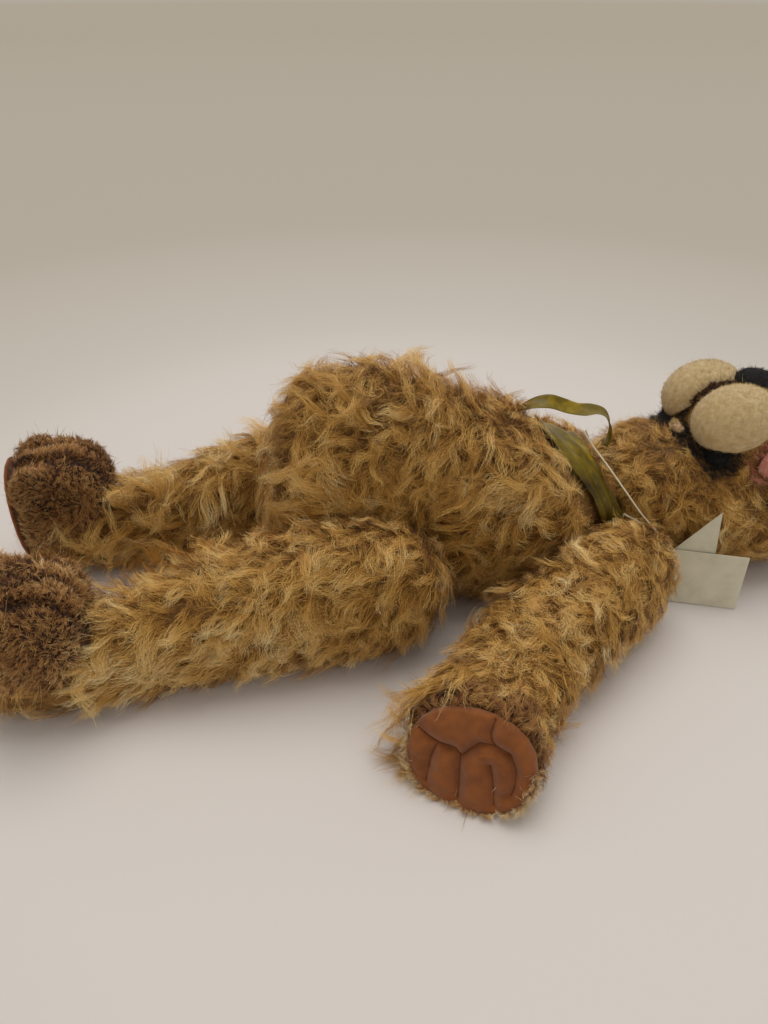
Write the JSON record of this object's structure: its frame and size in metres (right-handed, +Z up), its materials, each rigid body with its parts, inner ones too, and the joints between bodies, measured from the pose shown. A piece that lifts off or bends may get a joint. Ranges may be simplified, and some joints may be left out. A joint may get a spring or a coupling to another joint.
{
  "type": "jointed teddy bear",
  "caption": "Jointed mohair teddy bear lying on its back, with a felted muzzle, suede palms, plush feet, a neck ribbon and blank swing tags.",
  "frame": {"origin": "middle of the underside of the bear lying on its back", "axes": "+X from the feet to the head, +Y to the bear's right side, +Z up, out of its front"},
  "size_m": [0.5802, 0.4086, 0.1601],
  "materials": {
    "mohair": "curly pile",
    "filling": "matte",
    "fibreboard": "matte",
    "steel": "satin",
    "satin": "satin",
    "cotton_string": "matte",
    "card": "matte",
    "eye_black": "gloss",
    "black_felt": "felt",
    "pink_felt": "felt",
    "cream_felt": "felt",
    "brown_plush": "short pile",
    "suede": "suede"
  },
  "bodies": {
    "torso": {"body_skin": "mohair", "body_stuffing": "filling", "neck_body_disc": "fibreboard", "shoulder_body_discs": "fibreboard", "hip_body_discs": "fibreboard", "neck_ribbon": "satin", "ribbon_bow": "satin", "tag_string": "cotton_string", "tag_front_card": "card", "tag_back_card": "card"},
    "head": {"head_skin": "mohair", "head_stuffing": "filling", "left_ear": "mohair", "right_ear": "mohair", "left_eye": "eye_black", "right_eye": "eye_black", "eyelids": "cream_felt", "nose": "black_felt", "muzzle_left_pad": "cream_felt", "muzzle_right_pad": "cream_felt", "mouth_lining": "black_felt", "lower_lip": "cream_felt", "cheeks": "pink_felt", "neck_head_disc": "fibreboard", "neck_washers": "steel", "neck_bolt": "steel", "neck_nut": "steel"},
    "left_arm": {"left_arm_skin": "mohair", "left_arm_stuffing": "filling", "left_paw_back": "brown_plush", "left_palm": "suede", "left_arm_disc": "fibreboard", "left_arm_washers": "steel", "left_arm_bolt": "steel", "left_arm_nut": "steel"},
    "right_arm": {"right_arm_skin": "mohair", "right_arm_stuffing": "filling", "right_paw_back": "brown_plush", "right_palm": "suede", "right_arm_disc": "fibreboard", "right_arm_washers": "steel", "right_arm_bolt": "steel", "right_arm_nut": "steel"},
    "left_leg": {"left_leg_skin": "mohair", "left_leg_stuffing": "filling", "left_foot": "brown_plush", "left_sole": "suede", "left_leg_disc": "fibreboard", "left_leg_washers": "steel", "left_leg_bolt": "steel", "left_leg_nut": "steel"},
    "right_leg": {"right_leg_skin": "mohair", "right_leg_stuffing": "filling", "right_foot": "brown_plush", "right_sole": "suede", "right_leg_disc": "fibreboard", "right_leg_washers": "steel", "right_leg_bolt": "steel", "right_leg_nut": "steel"}
  },
  "joints": [
    {"name": "neck_turn", "type": "hinge", "parent": "torso", "child": "head", "pos_m": [0.11615, 0, 0.054], "axis": [1, 0, 0], "range_deg": [-180, 40]},
    {"name": "left_shoulder", "type": "hinge", "parent": "torso", "child": "left_arm", "pos_m": [0.09115, -0.046, 0.042], "axis": [-0.4226, 0.9063, 0], "range_deg": [-40, 95]},
    {"name": "right_shoulder", "type": "hinge", "parent": "torso", "child": "right_arm", "pos_m": [0.09115, 0.046, 0.042], "axis": [0.4226, 0.9063, 0], "range_deg": [-40, 95]},
    {"name": "left_hip", "type": "hinge", "parent": "torso", "child": "left_leg", "pos_m": [-0.05885, -0.04, 0.046], "axis": [0, 1, 0], "range_deg": [-20, 90]},
    {"name": "right_hip", "type": "hinge", "parent": "torso", "child": "right_leg", "pos_m": [-0.05885, 0.04, 0.046], "axis": [0, 1, 0], "range_deg": [-20, 90]}
  ]
}
